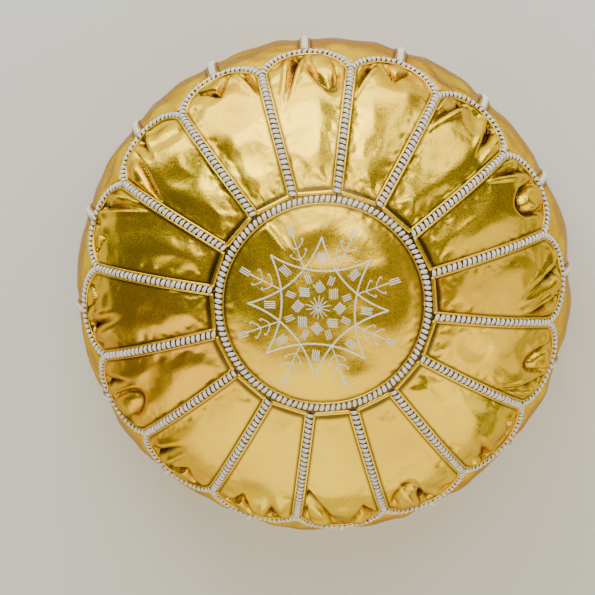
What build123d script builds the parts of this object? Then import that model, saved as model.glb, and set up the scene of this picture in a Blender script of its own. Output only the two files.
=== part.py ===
"""A round leather pouf: a sewn cover of a medallion, petals and side panels over a lined, stuffed core.

The cover stands on its base with +Z up, and its origin is the centre of the flat base, on the floor.
The medallion lies on top. Petals with rounded ends surround it, and side panels, set half a petal
round, run from the petals' ends down to the base. Thick thread covers each seam. The base is two
leather halves with a recessed zip between them, whose slider travels and whose pull tab swings.
All sizes are millimetres.
"""

from build123d import *
import math
import os

# Driving sizes of the stuffed cover.
RADIUS = 260.0  # at the widest level
HEIGHT = 330.0  # at the middle of the medallion
WAIST = 155.0  # height of the widest level
FLAT_RADIUS = 200.0  # the part of the base that lies flat
BASE_SEAM_Z = 10.0  # height of the seam between base and side panels
LEATHER = 2.0
LINING = 1.0
LAYER_GAP = 0.3  # between cover, lining and stuffing
THREAD_GAP = 0.1  # between thread and leather
SEAM_GAP = 0.3  # between neighbouring panels, under the thread
DOME_FULLNESS = 0.66  # how square the shoulder is: 0.55 is an ellipse
FLANK_FULLNESS = 0.55  # the same for the flank under the widest level
FOOT_REACH = 45.0  # how far the foot's curve runs on past the flat before it turns up

# The pattern of panels.
PETALS = 16
PETAL_ANGLE = 360.0 / PETALS
FIRST_SEAM = 83.1  # direction of one seam between petals, from +X
MEDALLION_RADIUS = 104.0
VALLEY_RADIUS = 230.0  # where two petals' rounded ends meet
SCALLOP_DEPTH = 33.0  # from that point to a petal's tip, along the leather
CUTTER_Z = 92.0  # the scalloped cut points at this height on the axis, so it is square to the leather

# Thread.
STITCH_WIDTH = 8.0
STITCH_HEIGHT = 3.0
EMBROIDERY_HEIGHT = 0.8

# The embroidery on the medallion, as radii from its centre.
STAR_POINTS = 8
STAR_TURN = 87.0  # direction of one of its points, from +X
STAR_RADIUS = 70.0
STAR_BOW = 13.0  # how far the middle of a star's side is drawn in
SPRIG_ROOT = 40.5
SPRIG_TIP = 80.0
TWIG_ROOTS = (50.0, 59.0)
TWIG_REACH = 9.0
TWIG_SPREAD = 9.0  # degrees
CENTRE_RAYS = 16
RAY_LENGTH = 12.0
STAR_LINE = 1.6
FINE_LINE = 1.1

# The zip, from the floor up.
ZIP_LENGTH = 370.0
WINDOW_HALF = 6.0  # half of the gap between the base's two halves
TAPE_Z = 6.9  # underside of the tape, and top of the turned-in leather lips
TAPE_THICK = 0.8
TAPE_OUTER = 17.0
CHAIN_GAP = 0.8  # between the two rows
COIL_HEIGHT = 2.2
COIL_OUTER = 3.4
SLIDER_LENGTH = 13.0
SLIDER_WIDTH = 10.4
SLIDER_PLATE = 1.0
SLIDER_CLEAR = 0.3
END_MARGIN = 2.0  # from a stop to the slider's travel
TAB_MARGIN = 1.0  # from the tab's tip to the end of the window, with the slider at its stop
STOP_LENGTH = 3.0
TAB_LENGTH = 26.0
TAB_WIDTH = 7.0
TAB_THICK = 1.2
HINGE_OFFSET = 2.0  # from the slider's middle to the pull tab's bar
ZIP_CHANNEL_HALF = 22.0  # the lining and stuffing leave room for the zip's back
ZIP_CHANNEL_TOP = 11.0
CHANNEL_LENGTH = 422.0


def bezier_point(points, t):
    """The point of a cubic curve with those four control points."""
    weights = ((1 - t) ** 3, 3 * (1 - t) ** 2 * t, 3 * (1 - t) * t**2, t**3)
    return tuple(sum(w * p[k] for w, p in zip(weights, points)) for k in (0, 1))


def dome_curve(depth):
    """Control points (r, z) of the upper outline, depth inside the leather's face, from waist to top."""
    radius = RADIUS - depth
    rise = HEIGHT - WAIST - depth
    return (
        (radius, WAIST),
        (radius, WAIST + DOME_FULLNESS * rise),
        (DOME_FULLNESS * radius, WAIST + rise),
        (0, WAIST + rise),
    )


def flank_curve(depth):
    """Control points (r, z) of the lower outline, from the flat base to the waist."""
    radius = RADIUS - depth
    return (
        (FLAT_RADIUS, depth),
        (FLAT_RADIUS + FOOT_REACH - FLANK_FULLNESS * depth, depth),
        (radius, depth + (1 - FLANK_FULLNESS) * (WAIST - depth)),
        (radius, WAIST),
    )


def in_plane(point):
    """A point (r, z) as a point of the XZ plane."""
    return (point[0], 0, point[1])


def body_of_revolution(depth):
    """The whole pouf's shape, depth inside the leather's outer face (negative is outside it)."""
    flank = Bezier(*[in_plane(p) for p in flank_curve(depth)])
    dome = Bezier(*[in_plane(p) for p in dome_curve(depth)])
    top = (0, 0, HEIGHT - depth)
    foot = (FLAT_RADIUS, 0, depth)
    axis_line = Line(top, (0, 0, depth))
    floor_line = Line((0, 0, depth), foot)
    outline = make_face(Wire([flank, dome, axis_line, floor_line]))
    return revolve(outline, Axis.Z)


def layer(outer_depth, inner_depth):
    """The closed skin between two depths."""
    return body_of_revolution(outer_depth) - body_of_revolution(inner_depth)


def dome_arc_table(steps=400):
    """(length along the leather from the top, r, z) at even steps of the dome's outline."""
    points = [bezier_point(dome_curve(0), 1 - i / steps) for i in range(steps + 1)]
    table = [(0.0, *points[0])]
    for before, after in zip(points, points[1:]):
        table.append((table[-1][0] + math.dist(before, after), *after))
    return table


ARC_TABLE = dome_arc_table()


def on_dome(length):
    """The (r, z) at that length along the leather from the top."""
    for low, high in zip(ARC_TABLE, ARC_TABLE[1:]):
        if length <= high[0]:
            share = (length - low[0]) / (high[0] - low[0])
            return tuple(low[k] + share * (high[k] - low[k]) for k in (1, 2))
    return ARC_TABLE[-1][1:]


def length_at(radius):
    """The length along the leather from the top to a radius."""
    for low, high in zip(ARC_TABLE, ARC_TABLE[1:]):
        if radius <= high[1]:
            return low[0] + (radius - low[1]) / (high[1] - low[1]) * (high[0] - low[0])
    return ARC_TABLE[-1][0]


VALLEY_LENGTH = length_at(VALLEY_RADIUS)
HALF_CHORD = VALLEY_RADIUS * math.sin(math.radians(PETAL_ANGLE / 2))
SCALLOP_RADIUS = (HALF_CHORD**2 + SCALLOP_DEPTH**2) / (2 * SCALLOP_DEPTH)


def scallop_length(share):
    """How far along the leather a petal reaches, share running from -1 to 1 across it."""
    centre = VALLEY_LENGTH - (SCALLOP_RADIUS - SCALLOP_DEPTH)
    return centre + math.sqrt(SCALLOP_RADIUS**2 - (share * HALF_CHORD) ** 2)


def scalloped_cone(shift=0.0):
    """A cone from the axis through all the petals' ends, or that far along the leather past them."""
    steps = 8
    heights = (8.0, 420.0)
    sections = []
    for height in heights:
        edges = []
        for petal in range(PETALS):
            middle = FIRST_SEAM + (petal + 0.5) * PETAL_ANGLE
            points = []
            for step in range(steps + 1):
                share = 2 * step / steps - 1
                r, z = on_dome(scallop_length(share) + shift)
                reach = height * r / (z - CUTTER_Z)
                angle = math.radians(middle + share * PETAL_ANGLE / 2)
                points.append((reach * math.cos(angle), reach * math.sin(angle), CUTTER_Z + height))
            edges.append(Spline(*points))
        sections.append(make_face(Wire(edges)))
    return loft(sections, ruled=True)


def wedge(middle):
    """Everything within half a petal to each side of a direction, less half of the seam's gap."""
    reach = 2 * RADIUS
    half_angle = math.radians(PETAL_ANGLE / 2)
    start = SEAM_GAP / 2 / math.sin(half_angle)
    across = reach * math.tan(half_angle)
    outline = make_face(Polyline((0, 0), (reach, across), (reach, -across), close=True))
    return Rot(0, 0, middle) * Pos(start, 0, 0) * extrude(outline, 2 * HEIGHT)


def turned(shape, index):
    """A copy of a shape, that many petals further round."""
    return Rot(0, 0, index * PETAL_ANGLE) * shape


def group(solids):
    """Separate solids as one shape."""
    return Compound(children=[s for shape in solids for s in shape.solids()])


def strip(direction, width):
    """A slab from the axis outwards in a direction, width across."""
    reach = 2 * RADIUS
    slab = Pos(reach / 2, 0, 0) * Box(reach, width, 4 * HEIGHT)
    return Rot(0, 0, direction) * slab


def below(z):
    """Everything under a height."""
    return Pos(0, 0, z - 2 * HEIGHT) * Box(4 * RADIUS, 4 * RADIUS, 4 * HEIGHT)


def cylinder(radius):
    """Everything within a radius of the axis."""
    return Cylinder(radius, 4 * HEIGHT)


def make_cover():
    """The leather panels: medallion, petals, side panels and the base's two halves."""
    skin = layer(0, LEATHER)
    top_cut = scalloped_cone()
    nodes = {"top_medallion": skin & cylinder(MEDALLION_RADIUS) & top_cut}
    first_petal = FIRST_SEAM + PETAL_ANGLE / 2
    petal = (skin & top_cut & wedge(first_petal)) - cylinder(MEDALLION_RADIUS + SEAM_GAP)
    side_panel = (skin & wedge(FIRST_SEAM)) - scalloped_cone(SEAM_GAP)
    side_panel = side_panel - below(BASE_SEAM_Z + SEAM_GAP)
    for index in range(PETALS):
        nodes[f"top_petal_{index + 1:02d}"] = turned(petal, index)
        nodes[f"side_panel_{index + 1:02d}"] = turned(side_panel, index)
    nodes.update(make_base(skin))
    return nodes


def make_base(skin):
    """The base's halves, each with a lip turned in beside the zip, and the strips that close its ends."""
    bowl = skin & below(BASE_SEAM_Z)
    lip_height = TAPE_Z - LEATHER
    lip = Box(ZIP_LENGTH, LEATHER, lip_height)
    lip_z = LEATHER + lip_height / 2
    half_space = Pos(0, WINDOW_HALF + 2 * RADIUS, 0) * Box(4 * RADIUS, 4 * RADIUS, HEIGHT)
    back = (bowl & half_space) + Pos(0, WINDOW_HALF + LEATHER / 2, lip_z) * lip
    end_strip = Box(RADIUS, 2 * (WINDOW_HALF - SEAM_GAP), HEIGHT)
    right_end = bowl & (Pos(ZIP_LENGTH / 2 + RADIUS / 2, 0, 0) * end_strip)
    return {
        "base_panel_back": back,
        "base_panel_front": Rot(0, 0, 180) * back,
        "zip_end_strip_right": right_end,
        "zip_end_strip_left": Rot(0, 0, 180) * right_end,
    }


def make_seams():
    """The thick thread over the seams, as plain bands on the leather."""
    band = layer(-STITCH_HEIGHT, -THREAD_GAP)
    half = STITCH_WIDTH / 2
    inner_cut = scalloped_cone(-half)
    outer_cut = scalloped_cone(half)
    ring_outer = MEDALLION_RADIUS + half
    ring = (band & cylinder(ring_outer) & inner_cut) - cylinder(MEDALLION_RADIUS - half)
    spoke = (band & strip(FIRST_SEAM, STITCH_WIDTH) & inner_cut) - cylinder(ring_outer)
    arch = (band & outer_cut & wedge(FIRST_SEAM + PETAL_ANGLE / 2)) - inner_cut
    riser_at = FIRST_SEAM + PETAL_ANGLE / 2
    base_cut = below(BASE_SEAM_Z + half)
    riser = (band & strip(riser_at, STITCH_WIDTH)) - outer_cut - base_cut
    hem = (band & base_cut) - below(BASE_SEAM_Z - half)
    return {
        "medallion_seam_thread": ring,
        "petal_seam_thread": group(turned(spoke, i) for i in range(PETALS)),
        "scallop_seam_thread": group(turned(arch, i) for i in range(PETALS)),
        "side_seam_thread": group(turned(riser, i) for i in range(PETALS)),
        "base_seam_thread": hem,
    }


def polar(radius, angle):
    """A point of the plan, from its radius and its direction from +X."""
    return (radius * math.cos(math.radians(angle)), radius * math.sin(math.radians(angle)))


def satin_block(radius, angle, long, wide, tilt=0.0):
    """A small filled oblong of thread, long outwards and wide across, tilted by some degrees."""
    return Pos(*polar(radius, angle)) * Rot(0, 0, angle + tilt) * Rectangle(long, wide)


def star_side(angle):
    """One bowed side of the star, from a point to the next but one."""
    turn = 360.0 / STAR_POINTS
    start = polar(STAR_RADIUS, angle)
    end = polar(STAR_RADIUS, angle + 2 * turn)
    middle = polar(STAR_RADIUS * math.cos(math.radians(turn)) - STAR_BOW, angle + turn)
    return trace(ThreePointArc(start, middle, end), STAR_LINE)


def sprig(angle):
    """A stem with two pairs of twigs and a block at its tip."""
    tip_block = (11.0, 6.0)
    pieces = [trace(Line(polar(SPRIG_ROOT, angle), polar(SPRIG_TIP - tip_block[0] / 2, angle)), FINE_LINE)]
    pieces.append(satin_block(SPRIG_TIP, angle, *tip_block))
    for root in TWIG_ROOTS:
        for side in (-1, 1):
            leaf = polar(root + TWIG_REACH, angle + side * TWIG_SPREAD)
            pieces.append(trace(Line(polar(root, angle), leaf), FINE_LINE))
    return pieces


def make_embroidery():
    """The eight-pointed star, its sprigs and its blocks, as flat threads on the medallion."""
    pieces = []
    turn = 360.0 / STAR_POINTS
    for index in range(STAR_POINTS):
        angle = STAR_TURN + index * turn
        pieces.append(star_side(angle))
        pieces.extend(sprig(angle + turn / 2))
        pieces.append(satin_block(0.69 * STAR_RADIUS, angle, 11, 8))
        pieces.append(satin_block(0.43 * STAR_RADIUS, angle + turn / 2, 9, 6))
        pieces.append(satin_block(0.30 * STAR_RADIUS, angle, 10, 9, tilt=45))
    for index in range(CENTRE_RAYS):
        angle = STAR_TURN + index * 360.0 / CENTRE_RAYS
        pieces.append(trace(Line((0, 0), polar(RAY_LENGTH, angle)), FINE_LINE))
    drawing = pieces[0]
    for piece in pieces[1:]:
        drawing = drawing + piece
    flat = layer(-EMBROIDERY_HEIGHT, -THREAD_GAP) & cylinder(MEDALLION_RADIUS)
    return {"medallion_embroidery": (flat - below(WAIST)) & extrude(drawing, 2 * HEIGHT)}


def make_core():
    """The cotton lining and the stuffing, both clear of the zip's back."""

    def core(depth, channel_grow):
        length = CHANNEL_LENGTH + 2 * channel_grow
        width = 2 * (ZIP_CHANNEL_HALF + channel_grow)
        top = ZIP_CHANNEL_TOP + channel_grow
        return body_of_revolution(depth) - Box(length, width, 2 * top)

    lining_depth = LEATHER + LAYER_GAP
    stuffing_depth = lining_depth + LINING + LAYER_GAP
    lining = core(lining_depth, 0) - core(lining_depth + LINING, LINING)
    stuffing = core(stuffing_depth, LINING + LAYER_GAP)
    return {"inner_lining": lining, "stuffing": stuffing}


SLIDER_X = -(ZIP_LENGTH / 2 - TAB_LENGTH - TAB_MARGIN - HINGE_OFFSET)
SLIDER_TRAVEL = 2 * abs(SLIDER_X)
HINGE_X = SLIDER_X - HINGE_OFFSET
STOP_X = abs(SLIDER_X) + SLIDER_LENGTH / 2 + END_MARGIN + STOP_LENGTH / 2
LOWER_PLATE_Z = TAPE_Z - COIL_HEIGHT - SLIDER_CLEAR  # upper face of the slider's outer plate
HINGE_Z = LOWER_PLATE_Z - SLIDER_PLATE - 0.9


def make_zip():
    """Tapes, coils, stops, slider and pull tab. The slider rests at the closed end, at -X."""
    nodes = {}
    tape_length = ZIP_LENGTH + 20
    inner = CHAIN_GAP / 2
    coil_z = TAPE_Z - COIL_HEIGHT / 2
    for name, side in (("back", 1), ("front", -1)):
        tape = Box(tape_length, TAPE_OUTER - inner, TAPE_THICK)
        tape_y = side * (TAPE_OUTER + inner) / 2
        nodes[f"zip_tape_{name}"] = Pos(0, tape_y, TAPE_Z + TAPE_THICK / 2) * tape
        coil = Box(2 * STOP_X - STOP_LENGTH, COIL_OUTER - inner, COIL_HEIGHT)
        nodes[f"zip_coil_{name}"] = Pos(0, side * (COIL_OUTER + inner) / 2, coil_z) * coil
    stop = Box(STOP_LENGTH, 2 * COIL_OUTER, COIL_HEIGHT)
    nodes["zip_end_stops"] = group(Pos(side * STOP_X, 0, coil_z) * stop for side in (-1, 1))
    nodes.update(make_slider())
    return nodes


def make_slider():
    """The slider: two plates joined by a thin web between the rows, flanges, and a bridge for the tab."""
    upper_z = TAPE_Z + TAPE_THICK + SLIDER_CLEAR
    plate = Box(SLIDER_LENGTH, SLIDER_WIDTH, SLIDER_PLATE)
    lower = Pos(0, 0, LOWER_PLATE_Z - SLIDER_PLATE / 2) * fillet(plate.edges().filter_by(Axis.Z), 3)
    upper = Pos(0, 0, upper_z + SLIDER_PLATE / 2) * fillet(plate.edges().filter_by(Axis.Z), 3)
    web_height = upper_z - LOWER_PLATE_Z
    web = Pos(-3.5, 0, LOWER_PLATE_Z + web_height / 2) * Box(4, CHAIN_GAP - 0.3, web_height)
    body = lower + upper + web
    flange_top = TAPE_Z - 2 * SLIDER_CLEAR
    flange_height = flange_top - LOWER_PLATE_Z
    flange_thick = 1.0
    for side in (-1, 1):
        flange_y = side * (SLIDER_WIDTH - flange_thick) / 2
        flange = Box(SLIDER_LENGTH - 6, flange_thick, flange_height)
        body = body + Pos(0, flange_y, LOWER_PLATE_Z + flange_height / 2) * flange
    bridge_top = LOWER_PLATE_Z - SLIDER_PLATE
    bridge_drop = 2.7
    bridge_bar = 1.1
    bridge = Pos(0, 0, bridge_top - bridge_drop / 2) * Box(9, 2.2, bridge_drop)
    eye_height = bridge_drop - bridge_bar
    eye = Pos(0, 0, bridge_top - eye_height / 2) * Box(7, 4, eye_height)
    body = Pos(SLIDER_X, 0, 0) * (body + (bridge - eye))
    return {"zip_slider": body, "zip_pull_tab": make_pull_tab()}


def make_pull_tab():
    """The flat tab, with a window round the bridge's leg and a round bar through the bridge's eye."""
    bar_radius = 0.5
    window_length = 9.0
    arm = 1.5
    heel = 0.5
    grip_radius = 1.6
    outline = Pos(TAB_LENGTH / 2, 0, 0) * Box(TAB_LENGTH, TAB_WIDTH, TAB_THICK)
    blade = fillet(outline.edges().filter_by(Axis.Z), 2.5)
    window = Pos(window_length / 2, 0, 0) * Box(window_length, TAB_WIDTH - 2 * arm, 2 * TAB_THICK)
    grip_hole = Pos(TAB_LENGTH - 6, 0, 0) * Cylinder(grip_radius, 2 * TAB_THICK)
    tab = blade - window - grip_hole
    arm_length = 3.0
    for side in (-1, 1):
        arm_y = side * (TAB_WIDTH - arm) / 2
        tab = tab + Pos(arm_length / 2 - heel, arm_y, 0) * Box(arm_length, arm, TAB_THICK)
    bar = Rot(90, 0, 0) * Cylinder(bar_radius, TAB_WIDTH - 2 * arm)
    return Pos(HINGE_X, 0, HINGE_Z) * (tab + bar)


def main():
    os.makedirs("parts", exist_ok=True)
    nodes = {**make_cover(), **make_seams(), **make_embroidery(), **make_core(), **make_zip()}
    for name, shape in nodes.items():
        export_step(shape, f"parts/{name}.step")
    print(f"{len(nodes)} nodes, slider travel {SLIDER_TRAVEL:.1f} mm, from x {SLIDER_X:.1f}")
    print(f"pull tab hinge at x {HINGE_X:.2f}, z {HINGE_Z:.2f}")


main()
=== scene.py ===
"""Looks of the round leather pouf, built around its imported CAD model. Lengths are in metres.

The cover's panels are grids laid on the pouf's outline. A cloth simulation fills them out, and folds are
then added at the petals' ends. After them come the turned edges, the hand stitching, the embroidery, the
base with its zip, the core, the materials, and the floor, lights and camera.
"""

import math

import bpy
import numpy as np
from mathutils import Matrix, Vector, noise
from mathutils.bvhtree import BVHTree


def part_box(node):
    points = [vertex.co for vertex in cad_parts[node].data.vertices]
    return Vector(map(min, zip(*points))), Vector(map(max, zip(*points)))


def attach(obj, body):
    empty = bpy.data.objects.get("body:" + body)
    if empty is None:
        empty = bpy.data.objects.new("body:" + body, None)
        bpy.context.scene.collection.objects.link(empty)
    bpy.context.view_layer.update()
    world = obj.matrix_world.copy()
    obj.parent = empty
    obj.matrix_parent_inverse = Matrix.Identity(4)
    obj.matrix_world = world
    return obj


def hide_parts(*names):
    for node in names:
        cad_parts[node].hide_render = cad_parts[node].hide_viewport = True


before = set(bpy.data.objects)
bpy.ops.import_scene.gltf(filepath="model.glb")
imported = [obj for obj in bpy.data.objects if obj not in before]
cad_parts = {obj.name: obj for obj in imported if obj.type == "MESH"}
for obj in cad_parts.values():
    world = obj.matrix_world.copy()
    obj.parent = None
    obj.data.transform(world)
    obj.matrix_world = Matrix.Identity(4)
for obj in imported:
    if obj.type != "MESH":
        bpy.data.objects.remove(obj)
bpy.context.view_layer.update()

# The cover's outline, as in the CAD model.
RADIUS = 0.260
HEIGHT = 0.330
WAIST = 0.155
FLAT_RADIUS = 0.200
BASE_SEAM_Z = 0.010
DOME_FULLNESS = 0.66
FLANK_FULLNESS = 0.55
FOOT_REACH = 0.045
LEATHER = 0.002

# The pattern of panels.
PETALS = 16
PETAL_ANGLE = math.radians(360 / PETALS)
HALF_ANGLE = PETAL_ANGLE / 2
FIRST_SEAM = math.radians(83.1)
MEDALLION_RADIUS = 0.104
VALLEY_RADIUS = 0.230
SCALLOP_DEPTH = 0.033

# Stitches and turned edges.
STITCH_HALF_WIDTH = 0.0029
STITCH_HEIGHT = 0.0031
STITCH_PITCH = 0.0055
STRAND_RADIUS = 0.00080
STRAND_GAP = 0.00124
STRAND_SLANT = 0.0007
STRAND_DIP = 0.0012  # how deep a strand's ends go into the leather
MIDDLE_STRAND_RISE = 0.0005  # above the strands beside it
SEAM_BAND = 0.0064  # the leather is held flat this far from a seam
EDGE_OFFSET = 0.0045  # from a seam to the turned edges beside it
EDGE_RADIUS = 0.0013
EDGE_START = 0.0095  # from the medallion's ring to the turned edges of the petals
MEDALLION_EDGE_RADIUS = 0.0009
RING_STRIP_OFFSET = 0.0080  # from the ring to the folded strips outside it
RING_STRIP_GAP = 0.0035
RING_STRIP_RADIUS = 0.0024
RING_STRIP_FLATNESS = 0.6

rng = np.random.default_rng(7)


# ---- The outline, measured along the leather from the middle of the top.


def cubic(points, t):
    """Points of a cubic curve, one row per t."""
    p = np.array(points)
    t = t[:, None]
    return (1 - t) ** 3 * p[0] + 3 * (1 - t) ** 2 * t * p[1] + 3 * (1 - t) * t**2 * p[2] + t**3 * p[3]


def run_along(line):
    """How far along a line each of its points is."""
    return np.concatenate([[0], np.cumsum(np.linalg.norm(np.diff(line, axis=0), axis=1))])


def outline_table(steps=600):
    """Length from the top, and (radius, height), down the dome and the flank to the base's middle."""
    rise = HEIGHT - WAIST
    shoulder = (RADIUS, WAIST + DOME_FULLNESS * rise)
    dome = ((0, HEIGHT), (DOME_FULLNESS * RADIUS, HEIGHT), shoulder, (RADIUS, WAIST))
    low = (1 - FLANK_FULLNESS) * WAIST
    flank = ((RADIUS, WAIST), (RADIUS, low), (FLAT_RADIUS + FOOT_REACH, 0), (FLAT_RADIUS, 0))
    t = np.linspace(0, 1, steps)
    floor = np.column_stack([np.linspace(FLAT_RADIUS, 0, steps), np.zeros(steps)])
    points = np.vstack([cubic(dome, t), cubic(flank, t)[1:], floor[1:]])
    return run_along(points), points


LENGTHS, OUTLINE = outline_table()


def dome_length(radius):
    """The length from the top to a radius on the dome."""
    on_dome = OUTLINE[:, 1] >= WAIST
    return np.interp(radius, OUTLINE[on_dome, 0], LENGTHS[on_dome])


def flank_length(height):
    """The length from the top to a height on the flank."""
    below = OUTLINE[:, 1] < WAIST
    return np.interp(-height, -OUTLINE[below, 1], LENGTHS[below])


RING_LENGTH = float(dome_length(MEDALLION_RADIUS))
VALLEY_LENGTH = float(dome_length(VALLEY_RADIUS))
BASE_LENGTH = float(flank_length(BASE_SEAM_Z))
HALF_CHORD = VALLEY_RADIUS * math.sin(HALF_ANGLE)
SCALLOP_RADIUS = (HALF_CHORD**2 + SCALLOP_DEPTH**2) / (2 * SCALLOP_DEPTH)


def radius_at(length):
    """The outline's radius at a length from the top."""
    return np.interp(length, LENGTHS, OUTLINE[:, 0])


def height_at(length):
    """The outline's height at a length from the top."""
    return np.interp(length, LENGTHS, OUTLINE[:, 1])


def scallop_length(share):
    """How far down a petal reaches, share running from -1 to 1 across it."""
    centre = VALLEY_LENGTH - (SCALLOP_RADIUS - SCALLOP_DEPTH)
    return centre + np.sqrt(SCALLOP_RADIUS**2 - (share * HALF_CHORD) ** 2)


def surface(length, angle, lift=0.0):
    """Points on the outline at lengths and directions, lifted along its outward normal."""
    length, angle = np.broadcast_arrays(np.asarray(length, float), np.asarray(angle, float))
    normal_r, normal_z = outline_normal(length)
    r = radius_at(length) + lift * normal_r
    z = height_at(length) + lift * normal_z
    return np.stack([r * np.cos(angle), r * np.sin(angle), z], axis=-1)


def outline_normal(length):
    """The outline's outward normal, as radial and upward parts."""
    step = 0.001
    ahead, behind = length + step, length - step
    dr = radius_at(ahead) - radius_at(behind)
    dz = height_at(ahead) - height_at(behind)
    size = np.hypot(dr, dz) + 1e-12
    return -dz / size, dr / size


def surface_normal(length, angle):
    """Outward normals on the outline."""
    normal_r, normal_z = outline_normal(np.asarray(length, float))
    return np.stack([normal_r * np.cos(angle), normal_r * np.sin(angle), normal_z + 0 * angle], axis=-1)


def polar(radius, angle):
    """A place from its radius and its direction in degrees."""
    return np.array([radius * math.cos(math.radians(angle)), radius * math.sin(math.radians(angle))])


# ---- Meshes.


def placed(name, data):
    """An object for a mesh, a light or a camera, put in the scene."""
    obj = bpy.data.objects.new(name, data)
    bpy.context.scene.collection.objects.link(obj)
    return obj


def new_object(name, points, faces):
    """A mesh object from an array of points and a list or array of faces."""
    mesh = bpy.data.meshes.new(name)
    mesh.from_pydata(np.asarray(points).tolist(), [], faces.tolist() if hasattr(faces, "tolist") else faces)
    mesh.update()
    return placed(name, mesh)


def grid_faces(columns, rows):
    """Quads of a grid of columns by rows of points."""
    index = np.arange(columns * rows).reshape(rows, columns)
    corners = (index[:-1, :-1], index[:-1, 1:], index[1:, 1:], index[1:, :-1])
    return np.stack([corner.ravel() for corner in corners], axis=1)


def settle(obj):
    """Applies an object's modifiers to its mesh."""
    depsgraph = bpy.context.evaluated_depsgraph_get()
    mesh = bpy.data.meshes.new_from_object(obj.evaluated_get(depsgraph))
    old = obj.data
    obj.modifiers.clear()
    obj.data = mesh
    bpy.data.meshes.remove(old)
    return obj


def thicken(obj, thickness, offset=-1.0):
    """Gives a sheet its thickness, inwards unless the offset says otherwise."""
    modifier = obj.modifiers.new("thicken", "SOLIDIFY")
    modifier.thickness = thickness
    modifier.offset = offset
    settle(obj)


def smooth(obj):
    """Shades an object smooth and gives it back."""
    obj.data.polygons.foreach_set("use_smooth", np.ones(len(obj.data.polygons), bool))
    obj.data.update()
    return obj


def noise_at(points, scale=1.0, shift=(0, 0, 0)):
    """Smooth noise at an array of points."""
    return np.array([noise.noise(Vector(p) * scale + Vector(shift)) for p in points.tolist()])


def tubes(paths, radii, reference, sides=8, flatness=1.0):
    """Closed tubes along paths (count, points, 3), as points and faces.

    The reference is a direction across each path; flatness scales the tubes along it.
    """
    paths = np.asarray(paths, float)
    count, steps, _ = paths.shape
    along = np.gradient(paths, axis=1)
    along /= np.linalg.norm(along, axis=2, keepdims=True) + 1e-12
    side = np.broadcast_to(np.asarray(reference, float), paths.shape)
    side = side - (side * along).sum(2, keepdims=True) * along
    side = side / (np.linalg.norm(side, axis=2, keepdims=True) + 1e-12)
    up = np.cross(along, side)
    turn = np.linspace(0, 2 * math.pi, sides, endpoint=False)
    radii = np.broadcast_to(np.asarray(radii, float), (count, steps))[..., None, None]
    ring = flatness * np.cos(turn)[:, None] * side[..., None, :] + np.sin(turn)[:, None] * up[..., None, :]
    points = (paths[..., None, :] + radii * ring).reshape(-1, 3)
    base = np.arange(steps * sides).reshape(steps, sides)
    after = np.roll(base, -1, axis=1)
    quads = np.stack([base[:-1], after[:-1], after[1:], base[1:]], axis=-1).reshape(-1, 4)
    faces = (quads[None] + (np.arange(count) * steps * sides)[:, None, None]).reshape(-1, 4).tolist()
    for index in range(count):
        first = index * steps * sides
        faces.append([first + k for k in range(sides - 1, -1, -1)])
        faces.append([first + (steps - 1) * sides + k for k in range(sides)])
    return points, faces


def merged(parts):
    """Several (points, faces) as one."""
    points, faces, shift = [], [], 0
    for part_points, part_faces in parts:
        points.append(np.asarray(part_points))
        faces.extend([shift + int(k) for k in face] for face in part_faces)
        shift += len(part_points)
    return np.vstack(points), faces


# ---- The cover's panels, as grids that are simulated together.

PETAL_GRID = (30, 54)  # cells across and along
SIDE_GRID = (28, 56)
MEDALLION_GRID = (46, 46)
SIM_FRAMES = 26
FOLD_START = 0.66  # share of a petal's length where its gathers begin
GATHER_RIPPLE = 0.0050  # height of the ripples the gathers start from
MOST_RISE = 0.012
MOST_SINK = 0.007
PUCKER_DEPTH = 0.0009
WAVE_HEIGHT = 0.0019
PANEL_SPAN = 0.998  # a panel's share of the angle between its seams
RING_HOLD = 0.006  # the petals are held flat this much further at the medallion's ring
MEDALLION_CUT = 1.008  # how much larger than their places the panels are cut, along them
PETAL_CUT = (1.006, 1.005)  # across and along
SIDE_CUT = (1.010, 1.012)
PETAL_EXTRA_ACROSS = (0.14, 0.24)  # what the gathers add, at least and at most
PETAL_EXTRA_ALONG = (0.03, 0.05)
SIDE_EXTRA_ACROSS = (0.08, 0.13)
SIDE_EXTRA_ALONG = 0.02
CLOTH = dict(
    quality=5, mass=0.4, air_damping=2.0, vertex_group_mass="sewn", pin_stiffness=50,
    tension_stiffness=60, compression_stiffness=60, shear_stiffness=30, bending_stiffness=0.8,
    tension_damping=15, compression_damping=15, shear_damping=10, bending_damping=1.0,
    use_pressure=True, uniform_pressure_force=1.5,
)


def smoothstep(x, low, high):
    """0 below low, 1 above high, and a smooth rise between them."""
    t = np.clip((x - low) / (high - low), 0, 1)
    return t * t * (3 - 2 * t)


def sewn_grid(cells):
    """u from -1 to 1 across and v from 0 to 1 along, as two flat arrays."""
    u, v = np.meshgrid(np.linspace(-1, 1, cells[0] + 1), np.linspace(0, 1, cells[1] + 1))
    return u.ravel(), v.ravel()


def panel(name, cells, middle, length, angle, loose, cut, gather, to_end):
    """A panel's grid: its points, the larger shape it is cut to, and how far each point is from its seams.

    The cut is the length that it starts from, and its scales across and along.
    """
    start, cut_angle, cut_length = cut
    return dict(
        name=name, cells=cells, middle=middle, length=length, angle=angle, loose=loose, gather=gather,
        points=surface(length, angle),
        cut=surface(start + (length - start) * cut_length, middle + (angle - middle) * cut_angle),
        across=radius_at(length) * (angle - middle), to_end=to_end,
    )


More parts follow.
